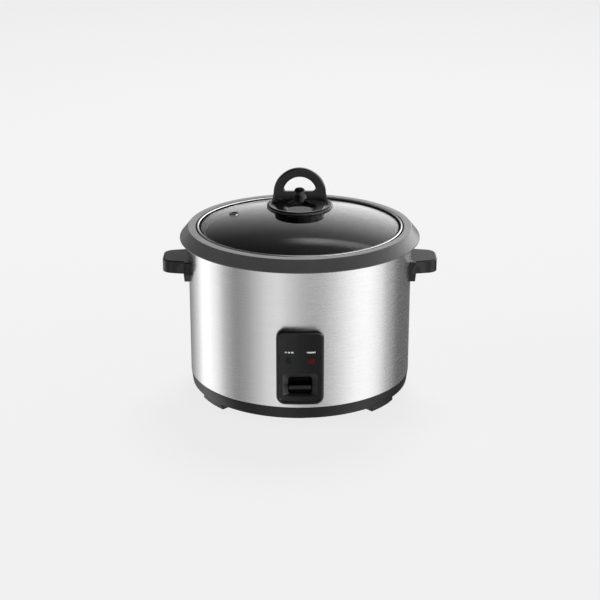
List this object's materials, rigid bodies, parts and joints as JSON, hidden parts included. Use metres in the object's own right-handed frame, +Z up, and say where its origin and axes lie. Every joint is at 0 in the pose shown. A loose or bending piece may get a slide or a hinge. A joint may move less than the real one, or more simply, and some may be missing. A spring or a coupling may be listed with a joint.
{
  "type": "rice cooker",
  "caption": "Round steel rice cooker with a domed glass lid, a hoop knob, side handles, a lift-out pot and a front panel with a cooking lever and lamps.",
  "frame": {"origin": "on the table, under the middle of the cooker's box", "axes": "+Z up, +X to the right as seen from the front, front towards -Y"},
  "size_m": [0.325, 0.2836, 0.2692],
  "materials": {
    "brushed_steel": "brushed round the body",
    "bright_steel": "polished",
    "collar_plastic": "satin moulded",
    "black_plastic": "satin moulded",
    "gloss_black": "gloss moulded",
    "blackened_steel": "black oxide",
    "foot_rubber": "matte",
    "lid_glass": "clear tempered",
    "pot_coating": "dark non-stick coat",
    "green_lens": "tinted lens, unlit",
    "red_lens": "tinted lens, unlit",
    "liner_sheet": "galvanised sheet",
    "cast_aluminium": "turned casting",
    "zinc_screws": "zinc plated",
    "ferrite": "sintered",
    "ceramic_white": "glazed ceramic and heat-proof moulding",
    "switch_plastic": "moulded",
    "inlet_plastic": "moulded",
    "pin_brass": "plated",
    "neon_glass": "clear",
    "wire_cover": "silicone sleeve"
  },
  "bodies": {
    "housing": {"outer_body": "brushed_steel", "top_collar": "collar_plastic", "base_tray": "black_plastic", "handle_left": "black_plastic", "handle_right": "black_plastic", "foot_front_right": "black_plastic", "foot_front_left": "black_plastic", "foot_rear": "black_plastic", "control_panel": "gloss_black", "foot_pads": "foot_rubber", "lamp_lens_left": "green_lens", "lamp_lens_right": "red_lens", "inner_liner": "liner_sheet", "keep_warm_band": "liner_sheet", "thermostat_guide": "liner_sheet", "lever_bracket": "liner_sheet", "fuse_clip": "liner_sheet", "tie_posts": "liner_sheet", "heating_plate": "cast_aluminium", "heater_screws": "zinc_screws", "handle_screws": "zinc_screws", "panel_screws": "zinc_screws", "bracket_screws": "zinc_screws", "base_screws": "zinc_screws", "lever_pin": "zinc_screws", "sensor_spring": "zinc_screws", "rod_spring": "zinc_screws", "heater_terminals": "ceramic_white", "terminal_block": "ceramic_white", "lamp_holder": "ceramic_white", "thermal_fuse": "ceramic_white", "microswitch": "switch_plastic", "power_inlet": "inlet_plastic", "inlet_pins": "pin_brass", "neon_lamps": "neon_glass", "wiring": "wire_cover"},
    "pot": {"inner_pot": "pot_coating"},
    "lid": {"lid_glass": "lid_glass", "lid_rim": "bright_steel", "steam_grommet": "bright_steel", "knob_seat": "gloss_black", "knob": "gloss_black", "knob_post": "gloss_black", "knob_washer": "bright_steel", "knob_screw": "bright_steel"},
    "lever": {"switch_lever": "blackened_steel", "lever_paddle": "gloss_black", "lever_shutter": "black_plastic"},
    "rod": {"magnet_holder": "zinc_screws", "thermostat_magnet": "ferrite", "pull_rod": "zinc_screws"},
    "plunger": {"switch_plunger": "switch_plastic"},
    "sensor": {"sensor_cup": "cast_aluminium", "ferrite_disc": "ferrite"}
  },
  "joints": [
    {"name": "pot_lift", "type": "slide", "parent": "housing", "child": "pot", "axis": [0, 0, 1], "range_m": [0, 0.16]},
    {"name": "lid_lift", "type": "slide", "parent": "pot", "child": "lid", "axis": [0, 0, 1], "range_m": [0, 0.08]},
    {"name": "cook_lever", "type": "hinge", "parent": "housing", "child": "lever", "pos_m": [0, -0.05, 0.033], "axis": [1, 0, 0], "range_deg": [0, 4.1], "stiffness_Nm_per_rad": 0.6, "springref_deg": -5.73, "deforming": ["rod_spring"]},
    {"name": "rod_lift", "type": "slide", "parent": "housing", "child": "rod", "axis": [0, 0, 1], "range_m": [0, 0.0037]},
    {"name": "plunger_sink", "type": "slide", "parent": "housing", "child": "plunger", "axis": [0, 0, -1], "range_m": [0, 0.0026]},
    {"name": "sensor_press", "type": "slide", "parent": "housing", "child": "sensor", "axis": [0, 0, -1], "range_m": [0, 0.001], "stiffness_N_per_m": 400, "springref_m": -0.002, "deforming": ["sensor_spring"]}
  ],
  "couplings": [
    {"joint": "rod_lift", "follows": "cook_lever", "m_per_rad": 0.05},
    {"joint": "plunger_sink", "follows": "cook_lever", "m_per_rad": 0.035}
  ]
}
